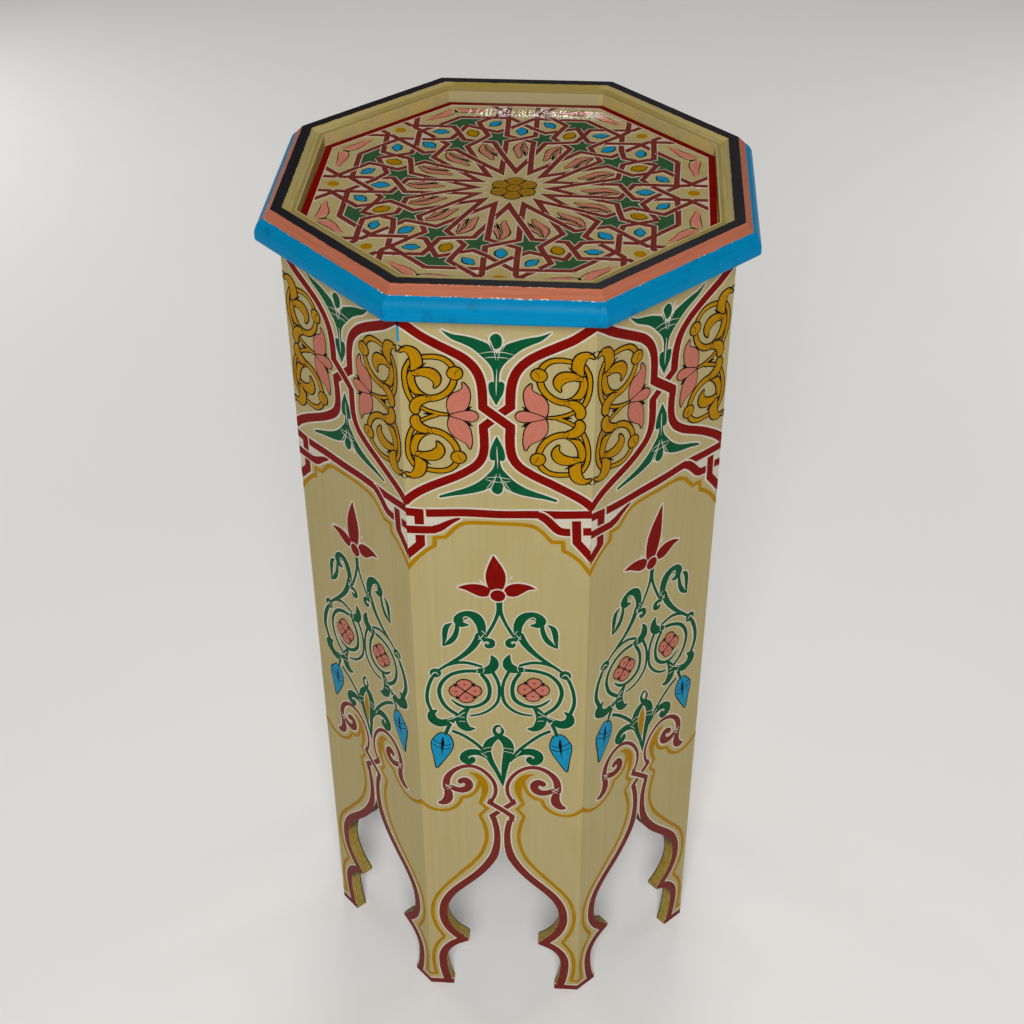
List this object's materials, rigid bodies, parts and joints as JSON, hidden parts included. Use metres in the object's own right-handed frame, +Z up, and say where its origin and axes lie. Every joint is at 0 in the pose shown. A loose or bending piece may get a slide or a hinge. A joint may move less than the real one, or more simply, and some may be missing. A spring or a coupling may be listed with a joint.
{
  "type": "octagonal side table",
  "caption": "Tall octagonal painted wooden side table: mitred side boards with ogee-arched feet under a moulded, recessed tray top.",
  "frame": {"origin": "centre of the footprint, on the floor", "axes": "+Z up, -Y out of side 1, which faces the viewer"},
  "size_m": [0.345, 0.345, 0.715],
  "materials": {
    "panel_paint": "cream enamel on softwood, with painted ornament",
    "rim_paint": "gloss blue, salmon, black and cream enamel on softwood",
    "tray_paint": "varnished cream enamel, with a painted star rosette",
    "raw_wood": "bare sawn softwood",
    "steel": "bright wire and screw steel"
  },
  "bodies": {
    "root": {"side_panel_1": "panel_paint", "side_panel_2": "panel_paint", "side_panel_3": "panel_paint", "side_panel_4": "panel_paint", "side_panel_5": "panel_paint", "side_panel_6": "panel_paint", "side_panel_7": "panel_paint", "side_panel_8": "panel_paint", "rim_rail_1": "rim_paint", "rim_rail_2": "rim_paint", "rim_rail_3": "rim_paint", "rim_rail_4": "rim_paint", "rim_rail_5": "rim_paint", "rim_rail_6": "rim_paint", "rim_rail_7": "rim_paint", "rim_rail_8": "rim_paint", "tray_board": "tray_paint", "corner_block_1": "raw_wood", "corner_block_2": "raw_wood", "corner_block_3": "raw_wood", "corner_block_4": "raw_wood", "corner_block_5": "raw_wood", "corner_block_6": "raw_wood", "corner_block_7": "raw_wood", "corner_block_8": "raw_wood", "top_cleat_1": "raw_wood", "top_cleat_2": "raw_wood", "top_cleat_3": "raw_wood", "top_cleat_4": "raw_wood", "top_cleat_5": "raw_wood", "top_cleat_6": "raw_wood", "top_cleat_7": "raw_wood", "top_cleat_8": "raw_wood", "cleat_screws": "steel", "cleat_pins": "steel", "block_pins": "steel"}
  },
  "joints": []
}
